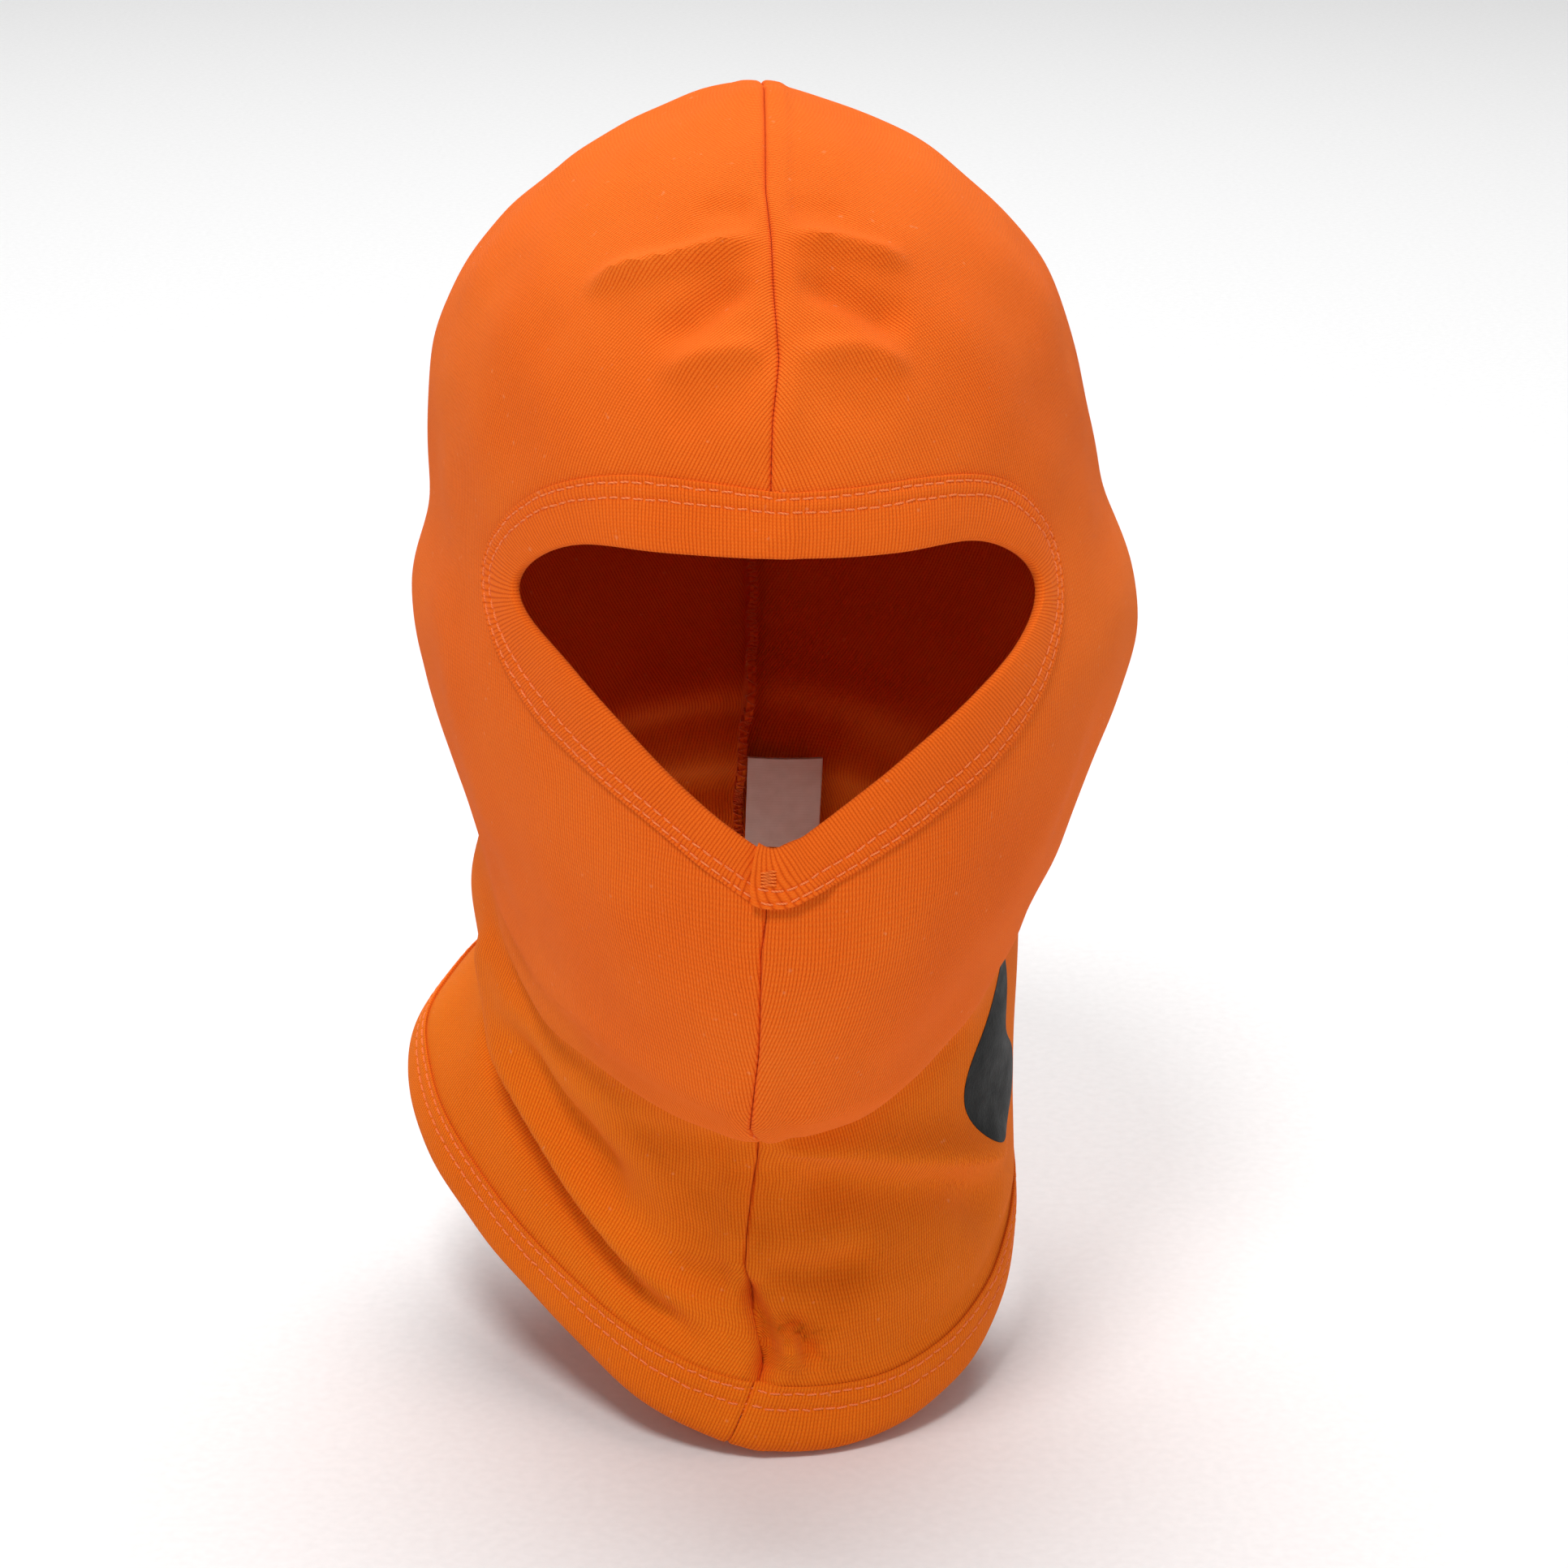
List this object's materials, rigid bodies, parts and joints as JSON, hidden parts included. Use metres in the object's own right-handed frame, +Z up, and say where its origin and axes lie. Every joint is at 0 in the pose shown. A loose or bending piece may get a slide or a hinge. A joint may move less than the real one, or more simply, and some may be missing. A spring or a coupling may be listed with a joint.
{
  "type": "balaclava hood",
  "caption": "Orange knitted balaclava hood in its worn shape, with an open face, folded and twin-stitched bands at the face and hem, and a centre seam.",
  "frame": {"origin": "between the ears of the head that the hood is worn on", "axes": "+Z up towards the crown, -Y out through the face opening, +X towards the wearer's left"},
  "size_m": [0.1936, 0.2188, 0.3398],
  "materials": {
    "panel_knit": "double-layer interlock cotton knit, matt with a soft nap",
    "rib_band": "folded rib knit, matt",
    "stitch_thread": "spun sewing thread, matt",
    "looper_thread": "textured looper thread, matt",
    "label_satin": "woven satin ribbon, slight sheen",
    "print_ink": "flexible printed ink, matt"
  },
  "bodies": {
    "hood": {"right_side_panel": "panel_knit", "left_side_panel": "panel_knit", "face_band": "rib_band", "hem_band": "rib_band", "face_outer_stitch_row": "stitch_thread", "face_inner_stitch_row": "stitch_thread", "face_looper_thread": "looper_thread", "hem_outer_stitch_row": "stitch_thread", "hem_inner_stitch_row": "stitch_thread", "hem_looper_thread": "looper_thread", "face_band_tack": "stitch_thread", "hem_band_closing_seam": "stitch_thread", "crown_seam_overlock": "looper_thread", "throat_seam_overlock": "looper_thread", "neck_mark": "print_ink"},
    "label": {"care_label": "label_satin"}
  },
  "joints": [
    {"name": "label_swing", "type": "hinge", "parent": "hood", "child": "label", "pos_m": [0, 0.0634, -0.05], "axis": [0, 0.36, -0.933], "range_deg": [0, 160]}
  ]
}
